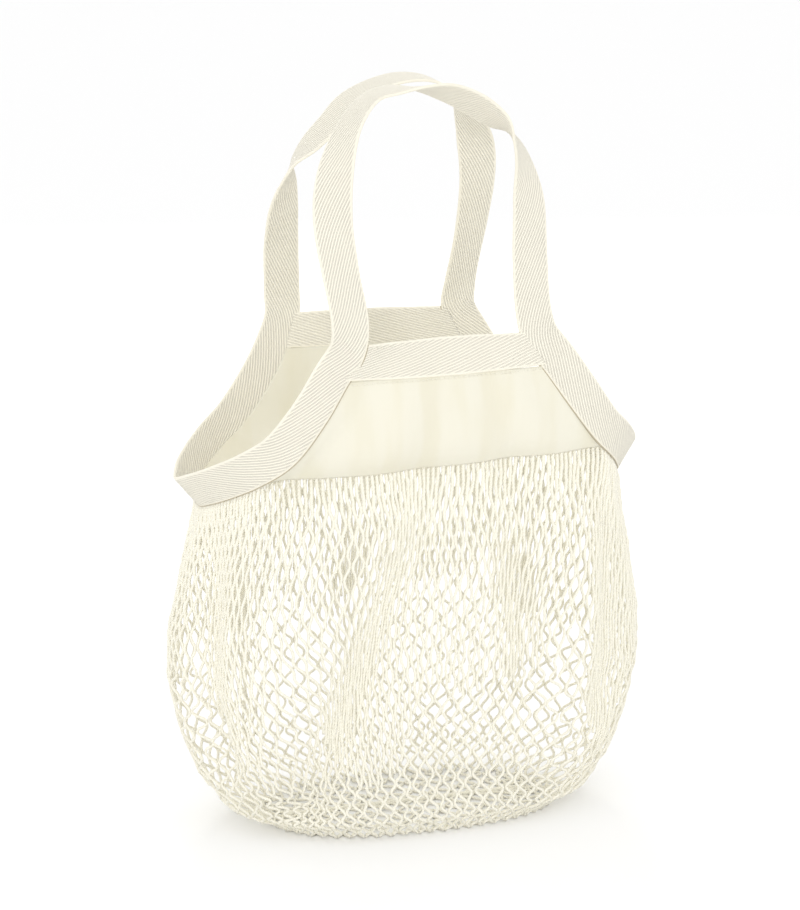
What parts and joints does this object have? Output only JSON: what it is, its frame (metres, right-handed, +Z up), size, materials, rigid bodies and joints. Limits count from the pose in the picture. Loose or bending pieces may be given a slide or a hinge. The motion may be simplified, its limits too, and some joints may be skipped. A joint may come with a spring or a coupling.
{
  "type": "string shopping bag",
  "caption": "Knitted cotton net shopping bag with cloth mouth panels and one webbing loop that binds the armholes and forms the handles.",
  "frame": {"origin": "on the floor, under the middle of the bag", "axes": "+Z up along the bag's height, the bag's front panel faces -Y, the wide sides run along X"},
  "size_m": [0.3228, 0.168, 0.4862],
  "materials": {
    "twill_tape": "natural cotton twill tape with a fine slanting rib, matte",
    "plain_cloth": "natural plain woven cotton, soft and matte",
    "knitted_string": "natural cotton string knitted into an open net, matte and slightly hairy"
  },
  "bodies": {
    "root": {"webbing_loop": "twill_tape", "front_panel": "plain_cloth", "front_top_band": "twill_tape", "back_panel": "plain_cloth", "back_top_band": "twill_tape", "net_pouch": "knitted_string"}
  },
  "joints": []
}
